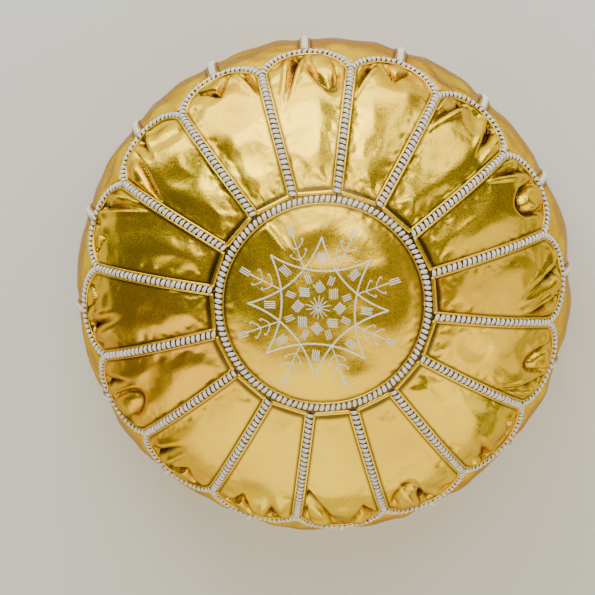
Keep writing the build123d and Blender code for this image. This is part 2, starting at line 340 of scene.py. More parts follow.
def petal_panel(index):
    """A petal, from the medallion's ring to its rounded end."""
    u, v = sewn_grid(PETAL_GRID)
    middle = FIRST_SEAM + (index + 0.5) * PETAL_ANGLE
    angle = middle + u * HALF_ANGLE * PANEL_SPAN
    end = scallop_length(u)
    length = RING_LENGTH + v * (end - RING_LENGTH)
    to_side = radius_at(length) * HALF_ANGLE * (1 - np.abs(u))
    to_start = length - RING_LENGTH - RING_HOLD
    loose = np.minimum(np.minimum(to_side, end - length), to_start)
    gather = smoothstep(v, FOLD_START, 1.0)
    cut_angle = PETAL_CUT[0] + gather * rng.uniform(*PETAL_EXTRA_ACROSS)
    cut_length = PETAL_CUT[1] + gather * rng.uniform(*PETAL_EXTRA_ALONG)
    cut = (RING_LENGTH, cut_angle, cut_length)
    name = f"top_petal_{index + 1:02d}"
    return panel(name, PETAL_GRID, middle, length, angle, loose, cut, gather, end - length)


def side_panel(index):
    """A side panel, from the petals' ends to the base seam."""
    u, v = sewn_grid(SIDE_GRID)
    middle = FIRST_SEAM + index * PETAL_ANGLE
    angle = middle + u * HALF_ANGLE * PANEL_SPAN
    start = scallop_length(1 - np.abs(u))
    length = start + v * (BASE_LENGTH - start)
    to_side = radius_at(length) * HALF_ANGLE * (1 - np.abs(u))
    loose = np.minimum(np.minimum(to_side, length - start), BASE_LENGTH - length)
    gather = 0.6 * (1 - smoothstep(v, 0.0, 0.35)) + smoothstep(v, 0.75, 1.0)
    cut_angle = SIDE_CUT[0] + gather * rng.uniform(*SIDE_EXTRA_ACROSS)
    cut_length = SIDE_CUT[1] + SIDE_EXTRA_ALONG * gather
    cut = (start, cut_angle, cut_length)
    name = f"side_panel_{index + 1:02d}"
    return panel(name, SIDE_GRID, middle, length, angle, loose, cut, gather, length - start)


def medallion_panel():
    """The round middle, as a square grid drawn out to a disc."""
    u, v = sewn_grid(MEDALLION_GRID)
    v = 2 * v - 1
    x, y = u * np.sqrt(1 - v**2 / 2), v * np.sqrt(1 - u**2 / 2)
    length = np.hypot(x, y) * RING_LENGTH
    angle = np.arctan2(y, x)
    loose = RING_LENGTH - length
    cut = (0.0, 1.0, MEDALLION_CUT)
    data = panel("top_medallion", MEDALLION_GRID, 0.0, length, angle, loose, cut, 0 * length, loose)
    ahead = polar(1.0, CREASE_ALONG)
    from_start = data["points"][:, :2] - polar(MEDALLION_RADIUS, CREASE_START)
    data["to_end"] = from_start @ ahead
    data["across"] = from_start @ np.array([ahead[1], -ahead[0]])
    return data


def simulate(panels):
    """Fills the panels out: the leather is cut a little large, sewn down along its seams and pressed out."""
    shift, faces = 0, []
    for p in panels:
        columns, rows = p["cells"][0] + 1, p["cells"][1] + 1
        faces.append(grid_faces(columns, rows) + shift)
        shift += columns * rows
    keys = ("points", "cut", "angle", "length", "loose", "gather")
    points, cut_points, angle, length, loose, gather = (np.concatenate([p[key] for p in panels]) for key in keys)
    normals = surface_normal(length, angle)
    lift = smoothstep(loose, SEAM_BAND, 0.03) * (0.002 + 0.002 * noise_at(points, 24.0))
    lift += smoothstep(loose, SEAM_BAND, 0.014) * GATHER_RIPPLE * gather * noise_at(points, 62.0)
    obj = new_object("cover_cloth", points + normals * lift[:, None], np.vstack(faces))
    obj.shape_key_add(name="Basis")
    cut = obj.shape_key_add(name="cut")
    cut.data.foreach_set("co", cut_points.ravel())
    cut.value = 0.0
    pin = obj.vertex_groups.new(name="sewn")
    pin.add(np.nonzero(loose < SEAM_BAND)[0].tolist(), 1.0, "REPLACE")
    cloth = obj.modifiers.new("cloth", "CLOTH")
    for key, value in CLOTH.items():
        setattr(cloth.settings, key, value)
    cloth.settings.rest_shape_key = cut
    cloth.settings.effector_weights.gravity = 0.0
    cloth.collision_settings.use_collision = False
    cloth.point_cache.frame_start = 1
    cloth.point_cache.frame_end = SIM_FRAMES
    scene = bpy.context.scene
    for number in range(1, SIM_FRAMES + 1):
        scene.frame_set(number)
    depsgraph = bpy.context.evaluated_depsgraph_get()
    result = np.zeros(len(points) * 3)
    obj.evaluated_get(depsgraph).data.vertices.foreach_get("co", result)
    result = result.reshape(-1, 3)
    scene.frame_set(1)
    bpy.data.objects.remove(obj)
    return points, result, normals


def filled_panels(panels):
    """Gives each panel its final points."""
    points, result, normals = simulate(panels)
    moved = result - points
    rise = (moved * normals).sum(1)
    sideways = moved - rise[:, None] * normals
    rise = np.clip(rise, -MOST_SINK, MOST_RISE)
    final = points + sideways + rise[:, None] * normals
    first = 0
    for p in panels:
        last = first + len(p["points"])
        p["final"] = final[first:last]
        first = last


# ---- Leather pieces: each panel as a closed shell with its turned edges.


def valley(x, t, reach, wide, deep):
    """A crease running in from a panel's end, with raised lips; x is across it and t along it."""
    along = smoothstep(t, 0.004, 0.009) * (1 - smoothstep(t, 0.35 * reach, reach))
    half = wide * (1 - 0.5 * np.clip(t / reach, 0, 1))
    lips = np.exp(-(((np.abs(x) - 1.7 * half) / (0.7 * half)) ** 2))
    return deep * along * (0.5 * lips - np.clip(1 - np.abs(x) / half, 0, 1))


def pit(x, t, reach, wide, deep):
    """A deep V-shaped crease, pointing away from the panel's end, with a blister inside it."""
    side = np.clip(np.abs(x) / wide, 0, 1)
    line = reach * (1 - side) + 0.2 * reach * side
    half = 0.24 * wide * (1.3 - side)
    groove = np.clip(1 - np.abs(t - line) / half, 0, 1) * (1 - smoothstep(np.abs(x), 0.8 * wide, 1.1 * wide))
    blister = np.clip(1 - side, 0, 1) * smoothstep(line - t, 0.0, half)
    return deep * (0.4 * blister - groove)


def loop(x, t, reach, wide, deep):
    """A blister with a crease round it, open towards the panel's end."""
    away = np.hypot(x / wide, (t - 0.45 * reach) / (0.55 * reach))
    groove = np.clip(1 - np.abs(away - 1.0) / 0.32, 0, 1) * smoothstep(t, 0.2 * reach, 0.5 * reach)
    return deep * (0.75 * np.clip(1 - away**2, 0, 1) ** 0.6 - groove)


def crease(x, t, reach, wide, deep):
    """A straight fold edge, steep on one side and falling away slowly on the other."""
    along = smoothstep(t, 0.004, 0.012) * (1 - smoothstep(t, 0.5 * reach, reach))
    return deep * along * np.where(x > 0, np.exp(-x / wide), np.exp(x / (0.12 * wide)))


# The one fold on the medallion: the direction of its start at the ring, and its own direction, in degrees.
CREASE_START = 126.0
CREASE_ALONG = -50.0
MEDALLION_FOLDS = ((crease, 0.0, 0.0, 66, 15.0, 3.4),)

# Folds at each petal's end: kind, place across as a share of half the petal, lean, and reach, width and
# depth in mm.
PETAL_FOLDS = (
    ((valley, 0.12, -0.25, 76, 6, 7), (loop, -0.32, 0.10, 54, 14, 5)),
    ((pit, 0.08, 0.06, 36, 21, 9), (valley, -0.60, 0.25, 54, 6, 5)),
    ((loop, 0.48, -0.25, 74, 13, 6.5), (valley, 0.02, -0.12, 52, 6, 6)),
    ((pit, 0.45, 0.20, 34, 15, 7.5), (valley, -0.30, 0.30, 72, 7, 5)),
    ((valley, 0.42, 0.25, 78, 7, 6), (pit, -0.35, 0, 28, 14, 6.5)),
    ((loop, 0.32, 0.15, 60, 13, 5), (valley, -0.50, -0.20, 66, 7, 6)),
    ((valley, -0.60, -0.30, 72, 7, 7), (pit, 0.25, 0, 34, 18, 8)),
    ((pit, -0.20, 0.12, 40, 20, 9), (valley, 0.55, 0.20, 62, 7, 6)),
    ((pit, 0.42, -0.12, 38, 17, 9), (loop, -0.38, 0.20, 56, 13, 6)),
    ((loop, -0.55, -0.25, 58, 13, 4.2), (valley, 0.10, 0.30, 76, 7, 4)),
    ((valley, -0.52, -0.30, 64, 6, 4.5), (pit, 0.50, 0, 26, 14, 3.6)),
    ((loop, 0.30, 0.25, 52, 12, 4.8), (valley, -0.25, 0.40, 76, 7, 5)),
    ((valley, 0.30, 0.40, 82, 8, 6), (valley, -0.40, 0.35, 74, 7, 6)),
    ((loop, -0.22, -0.08, 50, 14, 7), (valley, 0.42, -0.35, 78, 8, 5.5)),
    ((valley, -0.42, 0.08, 64, 7.5, 8), (valley, 0.38, -0.40, 80, 9, 5.5)),
    ((pit, 0.02, 0, 34, 15, 9), (valley, 0.58, -0.25, 62, 7, 6)),
)
# Painted shade: a fold's leather is darkened in colour between these depths, standing in for the shade inside
# the fold.
PAINTED_SHADE_DEPTHS = (0.0018, 0.0050)  # a fold's leather darkens between these depths


def fold_lift(folds, across, to_end):
    """How far a panel's folds lift or sink its leather."""
    lift = np.zeros_like(across)
    for kind, share, lean, reach, wide, deep in folds:
        x = across - share * HALF_CHORD + lean * to_end
        lift += kind(x, to_end, reach * 1e-3, wide * 1e-3, deep * 1e-3)
    return lift


def wave_lift(points, loose):
    """Soft waves over the panels, and small puckers that the stitches pull into them beside the seams."""
    beside = smoothstep(loose, SEAM_BAND, 0.0085) * (1 - smoothstep(loose, 0.011, 0.019))
    puckers = PUCKER_DEPTH * beside * np.clip(noise_at(points, 130.0) + 0.1, 0, 1)
    return WAVE_HEIGHT * smoothstep(loose, 0.008, 0.03) * noise_at(points, 27.0, (5, 3, 1)) - puckers


def point_array(mesh, key):
    """The places or the normals of a mesh's points."""
    values = np.zeros(len(mesh.vertices) * 3, np.float32)
    mesh.vertices.foreach_get(key, values)
    return values.reshape(-1, 3).astype(float)


def add_mark(mesh, name, values):
    """A number for each of a mesh's points."""
    mesh.attributes.new(name, "FLOAT", "POINT").data.foreach_set("value", np.asarray(values, np.float32))


def read_mark(mesh, name):
    """The numbers that add_mark kept."""
    values = np.zeros(len(mesh.vertices), np.float32)
    mesh.attributes[name].data.foreach_get("value", values)
    return values


def leather_shell(name, points, faces, loose, across=None, to_end=None, folds=()):
    """A sheet of leather as a smooth closed shell, marked with painted shade beside its seams and in its
    creases.
    """
    obj = new_object(name, points, faces)
    middle = Vector((0, 0, WAIST))
    outward = sum(f.normal.dot(f.center - middle) * f.area for f in obj.data.polygons)
    if outward < 0:
        obj.data.flip_normals()
    marks = {"loose": loose} if across is None else {"loose": loose, "across": across, "to_end": to_end}
    for mark, values in marks.items():
        add_mark(obj.data, mark, values)
    soften = obj.modifiers.new("soften", "SUBSURF")
    soften.levels = soften.render_levels = 1
    settle(obj)
    mesh = obj.data
    held = read_mark(mesh, "loose")
    # Painted shade: the colour is darkened within a few mm of the seams, standing in for the shade in the seams'
    # gaps.
    painted_shade_mask = 0.9 * (1 - smoothstep(held, 0.0058, 0.0088))
    if across is not None:
        place, normal = point_array(mesh, "co"), point_array(mesh, "normal")
        folded = fold_lift(folds, read_mark(mesh, "across"), read_mark(mesh, "to_end"))
        folded *= smoothstep(held, SEAM_BAND, 0.0090)
        lift = folded + wave_lift(place, held)
        mesh.vertices.foreach_set("co", (place + normal * lift[:, None]).ravel())
        # Painted shade also darkens the leather in the deeper folds, standing in for the shade inside them.
        painted_shade_mask = np.maximum(painted_shade_mask, 0.95 * smoothstep(-folded, *PAINTED_SHADE_DEPTHS))
    for mark in marks:
        mesh.attributes.remove(mesh.attributes[mark])
    add_mark(mesh, "painted_shade_mask", painted_shade_mask)
    thicken(obj, LEATHER)
    return smooth(obj)


def joined(obj, parts):
    """Adds turned edges, which get no painted shade, to a leather piece."""
    extra_points, extra_faces = merged(parts)
    extra = new_object("extra", extra_points, extra_faces)
    add_mark(extra.data, "painted_shade_mask", np.zeros(len(extra_points)))
    with bpy.context.temp_override(active_object=obj, selected_editable_objects=[obj, extra]):
        bpy.ops.object.join()
    return obj


def edge_tube(length, angle, radius=EDGE_RADIUS, lift=0.0002, step=0.0022, flatness=1.0):
    """A turned edge of leather along a line on the outline."""
    length, angle = np.broadcast_arrays(np.asarray(length, float), np.asarray(angle, float))
    far = run_along(surface(length, angle))
    at = np.linspace(0, far[-1], max(4, int(far[-1] / step)))
    length, angle = np.interp(at, far, length), np.interp(at, far, angle)
    line = surface(length, angle, lift)
    normal = surface_normal(length, angle)
    return tubes(line[None], radius, normal[None], sides=8, flatness=flatness)


def inset_scallop(u, offset):
    """The petals' rounded end, moved along the leather by an offset square to it."""
    step = 1e-3
    slope = (scallop_length(u + step) - scallop_length(u - step)) / (2 * step)
    slope = slope / (VALLEY_RADIUS * HALF_ANGLE)
    return scallop_length(u) + offset * np.sqrt(1 + slope**2)


def petal_edges(middle):
    """The turned edges down a petal's sides and round its end, and the folded strip at the ring."""
    reach = 1 - EDGE_OFFSET / (VALLEY_RADIUS * HALF_ANGLE)
    arch_u = np.linspace(-reach, reach, 60)
    arch = inset_scallop(arch_u, -EDGE_OFFSET)
    start = RING_LENGTH + EDGE_START
    side = np.linspace(start, arch[0], 60)
    side_angle = HALF_ANGLE - EDGE_OFFSET / radius_at(side)
    length = np.concatenate([side, arch[1:-1], side[::-1]])
    angle = np.concatenate([-side_angle, arch_u[1:-1] * HALF_ANGLE, side_angle[::-1]])
    around = edge_tube(length, middle + angle)
    strip_radius = MEDALLION_RADIUS + RING_STRIP_OFFSET
    strip_angle = np.linspace(-1, 1, 24) * (HALF_ANGLE - RING_STRIP_GAP / strip_radius)
    strip_length = dome_length(strip_radius * math.cos(HALF_ANGLE) / np.cos(strip_angle))
    strip_line = (strip_length, middle + strip_angle)
    return [around, edge_tube(*strip_line, RING_STRIP_RADIUS, 0.0006, flatness=RING_STRIP_FLATNESS)]


def side_edges(middle):
    """The turned edges round a side panel."""
    low = BASE_LENGTH - EDGE_OFFSET
    tip = float(scallop_length(0.0)) + EDGE_OFFSET
    side = np.linspace(low, tip, 90)
    side_angle = HALF_ANGLE - EDGE_OFFSET / radius_at(side)
    top_u = np.linspace(-side_angle[-1] / HALF_ANGLE, side_angle[-1] / HALF_ANGLE, 81)
    top = inset_scallop(1 - np.abs(top_u), EDGE_OFFSET)
    length = np.concatenate([side, top[1:-1], side[::-1]])
    angle = np.concatenate([-side_angle, top_u[1:-1] * HALF_ANGLE, side_angle[::-1]])
    bottom = np.linspace(-1, 1, 30) * (HALF_ANGLE - EDGE_OFFSET / radius_at(low))
    return [edge_tube(length, middle + angle), edge_tube(low, middle + bottom)]


def make_cover():
    """The simulated panels as leather pieces."""
    panels = [medallion_panel()]
    panels += [petal_panel(index) for index in range(PETALS)]
    panels += [side_panel(index) for index in range(PETALS)]
    filled_panels(panels)
    pieces = {}
    for p in panels:
        name = p["name"]
        faces = grid_faces(p["cells"][0] + 1, p["cells"][1] + 1)
        folds = ()
        if name.startswith("top_petal"):
            folds = PETAL_FOLDS[int(name[-2:]) - 1]
        elif name == "top_medallion":
            folds = MEDALLION_FOLDS
        obj = leather_shell("leather_" + name, p["final"], faces, p["loose"], p["across"], p["to_end"], folds)
        if name.startswith("top_petal"):
            joined(obj, petal_edges(p["middle"]))
        elif name.startswith("side_panel"):
            joined(obj, side_edges(p["middle"]))
        else:
            around = np.linspace(0, 2 * math.pi, 241)
            joined(obj, [edge_tube(RING_LENGTH - EDGE_OFFSET, around, MEDALLION_EDGE_RADIUS)])
        pieces[name] = smooth(obj)
    return pieces


# ---- Hand stitching.

SPOKE_GAP = 0.0062  # what a seam's stitches leave free at its end, along the petals' sides
SPOKE_OVERRUN = 0.003
ARCH_GAP = 0.0035  # the same round the petals' ends
RISER_GAP = 0.0045  # the same down the side
SPLIT_THREADS = ("side_seam_thread", "petal_seam_thread")  # too many stitches for one piece


def stations(length, angle, before, after):
    """Even places for stitches along a line on the outline: points, directions along it, and normals."""
    length, angle = np.broadcast_arrays(np.asarray(length, float), np.asarray(angle, float))
    far = run_along(surface(length, angle))
    run = far[-1] - before - after
    count = max(1, round(run / STITCH_PITCH))
    at = before + (np.arange(count) + 0.5) * run / count

    def place(where):
        """The length and the direction at distances along the line."""
        return np.interp(where, far, length), np.interp(where, far, angle)

    nudge = 0.0005
    along = surface(*place(at + nudge)) - surface(*place(at - nudge))
    along /= np.linalg.norm(along, axis=1, keepdims=True)
    return surface(*place(at)), along, surface_normal(*place(at))


def stitches(rows):
    """Stitches of three strands each, across the seam, as points and faces."""
    centre, along, normal = (np.concatenate([row[k] for row in rows]) for k in range(3))
    across = np.cross(normal, along)
    count = len(centre)
    bend = np.linspace(-1, 1, 11) * 0.5 * math.pi
    paths, radii = [], []
    skew = rng.normal(0, 0.00022, (count, 1))
    for strand in (-1, 0, 1):
        width = STITCH_HALF_WIDTH * (1 + rng.normal(0, 0.035, (count, 1)))
        height = STITCH_HEIGHT * (1 + rng.normal(0, 0.05, (count, 1))) - MIDDLE_STRAND_RISE * abs(strand)
        sideways = width * np.sin(bend)
        up = -STRAND_DIP + (height + STRAND_DIP) * np.cos(bend).clip(0, 1) ** 0.6
        apart = strand * STRAND_GAP + rng.normal(0, 0.00010, (count, 1))
        forward = apart * (0.35 + 0.65 * np.cos(bend)) + (STRAND_SLANT + skew) * np.sin(bend)
        path = centre[:, None] + across[:, None] * sideways[..., None] + normal[:, None] * up[..., None]
        paths.append(path + along[:, None] * forward[..., None])
        radii.append(np.full((count, len(bend)), STRAND_RADIUS) * (0.82 + 0.18 * np.cos(bend)))
    reference = np.repeat(along[:, None], len(bend), axis=1)
    return tubes(np.vstack(paths), np.vstack(radii), np.vstack([reference] * 3), sides=8)


def seam_rows():
    """Every seam's places for stitches, by the name of its thread."""
    full = np.linspace(0, 2 * math.pi, 721)
    rows = {"medallion_seam_thread": [stations(RING_LENGTH, full + FIRST_SEAM, 0, 0)]}
    rows["base_seam_thread"] = [stations(BASE_LENGTH, full + FIRST_SEAM, 0, 0)]
    share = np.linspace(-1, 1, 121)
    tip = float(scallop_length(0.0))
    spoke = np.linspace(RING_LENGTH, VALLEY_LENGTH + SPOKE_OVERRUN, 200)
    riser = np.linspace(tip, BASE_LENGTH, 300)
    rows["petal_seam_thread"], rows["scallop_seam_thread"], rows["side_seam_thread"] = [], [], []
    for index in range(PETALS):
        seam = FIRST_SEAM + index * PETAL_ANGLE
        middle = seam + HALF_ANGLE
        rows["petal_seam_thread"].append(stations(spoke, seam, SPOKE_GAP, 0.0))
        arch = (scallop_length(share), middle + share * HALF_ANGLE)
        rows["scallop_seam_thread"].append(stations(*arch, ARCH_GAP, ARCH_GAP))
        rows["side_seam_thread"].append(stations(riser, middle, RISER_GAP, RISER_GAP))
    return rows


def make_stitching():
    """One piece of thread for each kind of seam; the petals' and the side seams are two pieces each."""
    pieces = []
    for name, rows in seam_rows().items():
        halves = [rows[: PETALS // 2], rows[PETALS // 2 :]] if name in SPLIT_THREADS else [rows]
        for number, part in enumerate(halves):
            suffix = "" if len(halves) == 1 else f"_{number + 1}"
            pieces.append((smooth(new_object(f"{name}_strands{suffix}", *stitches(part))), name))
    return pieces


# ---- Embroidery on the medallion. Radii are from its middle, directions in degrees from +X.

STAR_POINTS = 8
STAR_TURN = 87.0
STAR_RADIUS = 0.0695
STAR_BOW = 0.0130
SPRIG_ROOT = 0.0405
SPRIG_TIP = 0.0800
TWIG_ROOTS = (0.0500, 0.0605)
CENTRE_RAYS = 14
RAY_LENGTH = 0.0125
STITCH_WOBBLE = 0.0004
STAR_THREAD = 0.00058  # radii of the threads
STEM_THREAD = 0.00040
TWIG_THREAD = 0.00036
SATIN_THREAD = 0.00060
RAY_THREAD = 0.0005
SATIN_LIFT = 0.00045  # from the leather to a satin thread's middle
STAR_MIDDLE = (-0.0053, -0.0023)  # the star is sewn a little off the medallion's middle


class Needle:
    """Lays threads on the medallion and collects them."""

    def __init__(self, medallion):
        self.tree = BVHTree.FromPolygons(
            [v.co for v in medallion.data.vertices], [list(p.vertices) for p in medallion.data.polygons]
        )
        self.parts = []

    def drop(self, x, y):
        """The leather's height at a place measured from the star's middle."""
        hit = self.tree.ray_cast(Vector((x + STAR_MIDDLE[0], y + STAR_MIDDLE[1], 1.0)), Vector((0, 0, -1)))
        return hit[0].z if hit[0] else HEIGHT

    def thread(self, path, radius):
        """Keeps one thread, moved from the star's middle to its place."""
        path = path + np.array([*STAR_MIDDLE, 0.0])
        self.parts.append(tubes(path[None], radius, np.array([[[0.0, 0.0, 1.0]]]), sides=6))

    def lay(self, line, radius, lift, dip=0.0012):
        """A thread along a line of (x, y), its ends dipping into the leather."""
        points = [Vector((x, y, self.drop(x, y) + lift)) for x, y in line]
        points[0].z -= dip
        points[-1].z -= dip
        self.thread(np.array([tuple(p) for p in points]), radius)

    def twisted(self, line, radius, step=0.0009, twist=0.0042):
        """Two strands wound round each other along a line of (x, y)."""
        line = np.asarray(line, float)
        far = run_along(line)
        at = np.linspace(0, far[-1], max(5, int(far[-1] / step)))
        x, y = np.interp(at, far, line[:, 0]), np.interp(at, far, line[:, 1])
        along = np.gradient(np.column_stack([x, y]), axis=0)
        along /= np.linalg.norm(along, axis=1, keepdims=True) + 1e-12
        across = np.column_stack([-along[:, 1], along[:, 0]])
        height = np.array([self.drop(px, py) for px, py in zip(x, y)])
        for strand in (0, 1):
            phase = 2 * math.pi * at / twist + strand * math.pi
            wave = 0.85 * radius * np.cos(phase)
            z = height + 0.9 * radius + 0.8 * radius * np.sin(phase)
            z[[0, -1]] -= radius
            self.thread(np.column_stack([x + across[:, 0] * wave, y + across[:, 1] * wave, z]), radius)

    def satin(self, radius, angle, long, wide, tilt=0.0, threads=4):
        """A block of threads side by side, long outwards and wide across."""
        centre = polar(radius + rng.normal(0, STITCH_WOBBLE), angle + rng.normal(0, 0.6))
        turn = math.radians(angle + tilt + rng.normal(0, 4.0))
        ahead = np.array([math.cos(turn), math.sin(turn)])
        beside = np.array([-ahead[1], ahead[0]])
        for k in range(threads):
            shift = wide * ((k + 0.5) / threads - 0.5)
            half = long / 2 * (1 + rng.normal(0, 0.05))
            slide = rng.normal(0, 0.0003)
            reach = np.array([-1, -0.8, -0.3, 0.3, 0.8, 1]) * half
            line = [centre + beside * shift + ahead * (slide + r) for r in reach]
            self.lay(line, SATIN_THREAD, SATIN_LIFT)


def star_side(angle):
    """Points along one bowed side of the star, from a point to the next but one."""
    turn = 360 / STAR_POINTS
    start, end = polar(STAR_RADIUS, angle), polar(STAR_RADIUS, angle + 2 * turn)
    inward = -polar(1.0, angle + turn)
    t = np.linspace(0, 1, 40)[:, None]
    bow = STAR_BOW * (1 - (2 * t - 1) ** 2)
    return start + (end - start) * t + inward * bow


def sprig(needle, angle):
    """A stem with two pairs of hooked twigs and a satin block at its tip."""
    angle += rng.normal(0, 0.8)
    out = polar(1.0, angle)
    beside = np.array([-out[1], out[0]])
    needle.twisted([out * SPRIG_ROOT, out * (SPRIG_TIP - 0.005)], STEM_THREAD)
    needle.satin(SPRIG_TIP, angle, 0.0112, 0.0066, threads=3)
    for root in TWIG_ROOTS:
        for side in (-1, 1):
            start = out * (root + rng.normal(0, STITCH_WOBBLE))
            elbow = start + out * 0.0072 + beside * side * 0.0088
            hook = elbow + out * 0.0006 - beside * side * 0.0024
            turn_in = elbow + out * 0.0016 - beside * side * 0.0008
            needle.twisted([start, (start + elbow) / 2 - out * 0.0008, elbow, turn_in, hook], TWIG_THREAD)


def make_embroidery(medallion):
    """The star of two bowed squares, its sprigs, its satin blocks and the rays in the middle."""
    needle = Needle(medallion)
    turn = 360 / STAR_POINTS
    for index in range(STAR_POINTS):
        angle = STAR_TURN + index * turn
        needle.twisted(star_side(angle), STAR_THREAD)
        sprig(needle, angle + turn / 2)
        needle.satin(0.69 * STAR_RADIUS, angle, 0.0115, 0.0080)
        needle.satin(0.43 * STAR_RADIUS, angle + turn / 2, 0.0095, 0.0064, threads=3)
        needle.satin(0.30 * STAR_RADIUS, angle, 0.0105, 0.0092, tilt=45, threads=5)
    for index in range(CENTRE_RAYS):
        angle = STAR_TURN + index * 360 / CENTRE_RAYS + rng.normal(0, 2.0)
        reach = RAY_LENGTH * rng.uniform(0.85, 1.1)
        needle.lay([polar(reach * share, angle) for share in (0.0, 0.4, 0.75, 1.0)], RAY_THREAD, RAY_THREAD)
    return smooth(new_object("embroidery_threads", *merged(needle.parts)))


# ---- The base, its zip, and the core.

TOTAL_LENGTH = LENGTHS[-1]
BASE_REACH = TOTAL_LENGTH - BASE_LENGTH
ZIP_LENGTH = 0.370
SLOT_HALF = 0.0060
LIP_ROWS = ((0.0003, 0.0067), (0.0, 0.0045), (0.0001, 0.0022), (0.0006, 0.0006))  # (from the slot, height)
LIP_TURN = 0.0016
BASE_GRID = (72, 36)
TAPE_GRID = (160, 9)
TAPE_THICKNESS = 0.0006
COIL_WIRE = 0.00034
COIL_PITCH = 0.0014
COIL_STEPS = 10  # points per turn
CORE_GRID = (96, 70)  # points around and down
POLE_GAP = 0.012  # from the core's rings to its top and bottom points, along the outline
CHANNEL_SLOPE = 0.012
CHANNEL_REACH = 0.05  # only what is lower than this makes room for the zip
CHANNEL_ENDS = (0.212, 0.224)  # where the channel for the zip's back runs out


def base_surface(x, y, lift=0.0):
    """A point of the base from its place on the leather laid flat."""
    return surface(TOTAL_LENGTH - np.hypot(x, y), np.arctan2(y, x), lift)


def base_half(name, side):
    """One half of the base, with a lip turned in along the zip."""
    columns, rows = BASE_GRID[0] + 1, BASE_GRID[1] + 1
    u, v = np.meshgrid(np.linspace(-1, 1, columns), np.linspace(0, 1, rows))
    x, y = u * np.sqrt(1 - v**2 / 2), v * np.sqrt(1 - u**2 / 2)
    inner = SLOT_HALF + LIP_TURN
    x = x * math.sqrt(BASE_REACH**2 - inner**2)
    y = inner + y * (BASE_REACH - inner)
    beyond = np.maximum(np.hypot(x, y) / BASE_REACH, 1)
    x, y = x / beyond, y / beyond
    rumple = noise_at(np.stack([side * x * 26, y * 26, 0 * x + 3.0 * side], axis=-1).reshape(-1, 3))
    rumple = rumple.reshape(x.shape)
    edge = smoothstep(BASE_REACH - np.hypot(x, y), 0.004, 0.03) * smoothstep(y, 0.010, 0.03)
    points = base_surface(x, y, -0.0018 * edge * np.clip(rumple + 0.25, 0, 1))
    first = points[0]
    within = 1 - smoothstep(np.abs(first[:, 0]), ZIP_LENGTH / 2, ZIP_LENGTH / 2 + 0.006)
    lip = []
    for index, (away, height) in enumerate(LIP_ROWS):
        flat = LIP_TURN * index / len(LIP_ROWS)
        row = first.copy()
        row[:, 1] += flat + (away - flat) * within - LIP_TURN
        row[:, 2] += height * within
        lip.append(row)
    points = np.concatenate([np.stack(lip), points])
    points[..., 1] *= side
    loose = np.full(points.shape[:2], 0.02)
    loose[: len(LIP_ROWS) + 1] = 0.006
    faces = grid_faces(columns, rows + len(LIP_ROWS))
    return leather_shell(name, points.reshape(-1, 3), faces, loose.ravel())


def end_strip(name, side):
    """The short strip of leather that closes the slot past one end of the zip."""
    columns, rows = 30, 7
    along = np.linspace(ZIP_LENGTH / 2, BASE_REACH, columns)
    x, y = np.meshgrid(along, np.linspace(-1, 1, rows) * (SLOT_HALF - 0.0004))
    lift = -0.0001 - 0.0008 * (np.abs(y) / SLOT_HALF) ** 4
    points = base_surface(side * x, y, lift)
    return leather_shell(name, points.reshape(-1, 3), grid_faces(columns, rows), np.full(x.size, 0.01))


def zip_tape(name, node, side):
    """A woven tape with a slight ripple."""
    low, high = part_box(node)
    x, y = np.meshgrid(np.linspace(low.x, high.x, TAPE_GRID[0]), np.linspace(low.y, high.y, TAPE_GRID[1]))
    x, y = x.ravel(), y.ravel()
    ripple = noise_at(np.column_stack([x * 60, y * 60, 0 * x + side]))
    points = np.column_stack([x, y, low.z + 0.0001 + 0.00012 * ripple])
    obj = new_object(name, points, grid_faces(*TAPE_GRID))
    thicken(obj, TAPE_THICKNESS, offset=1.0)
    return smooth(obj)


def zip_coil(name, node, shift):
    """A coil of nylon wire, as a flattened helix."""
    low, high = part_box(node)
    turns = int((high.x - low.x - 2 * COIL_WIRE) / COIL_PITCH)
    t = np.arange(turns * COIL_STEPS + 1) / COIL_STEPS
    middle = (low + high) / 2
    half_y = (high.y - low.y) / 2 - COIL_WIRE
    half_z = (high.z - low.z) / 2 - COIL_WIRE
    phase = 2 * math.pi * (t + shift)
    path = np.column_stack([
        low.x + COIL_WIRE + t * COIL_PITCH,
        middle.y + half_y * np.cos(phase),
        middle.z + half_z * np.sin(phase),
    ])
    along_zip = np.array([[[1.0, 0.0, 0.0]]])
    return smooth(new_object(name, *tubes(path[None], COIL_WIRE, along_zip, sides=5)))


def core_piece(name, depth, lump, channel_half, channel_top, thickness=0.0):
    """A revolved sack inside the cover, lumpy, and hollowed under the zip's back."""
    around, down = CORE_GRID
    length = np.linspace(POLE_GAP, TOTAL_LENGTH - POLE_GAP, down)
    angle = np.linspace(0, 2 * math.pi, around, endpoint=False)
    length, angle = (a.ravel() for a in np.meshgrid(length, angle, indexing="ij"))
    lumps = noise_at(surface(length, angle), 22.0)
    points = surface(length, angle, -(depth + lump * (0.5 + 0.5 * lumps)))
    poles = np.array([[0, 0, HEIGHT - depth], [0, 0, depth]])
    points = np.vstack([points, poles])
    beside = 1 - smoothstep(np.abs(points[:, 1]), channel_half, channel_half + CHANNEL_SLOPE)
    within = 1 - smoothstep(np.abs(points[:, 0]), *CHANNEL_ENDS)
    low = points[:, 2] < CHANNEL_REACH
    points[low, 2] = np.maximum(points[low, 2], channel_top * (beside * within)[low])
    ring = np.arange(around)
    rows = np.arange(down - 1)[:, None] * around
    here, beyond = rows + ring, rows + np.roll(ring, -1)
    faces = np.stack([here, here + around, beyond + around, beyond], axis=-1).reshape(-1, 4).tolist()
    top, bottom, last = down * around, down * around + 1, (down - 1) * around
    faces += [[top, k, (k + 1) % around] for k in ring.tolist()]
    faces += [[bottom, last + (k + 1) % around, last + k] for k in ring.tolist()]
    obj = new_object(name, points, faces)
    if thickness:
        thicken(obj, thickness)
    return smooth(obj)


# ---- Materials.


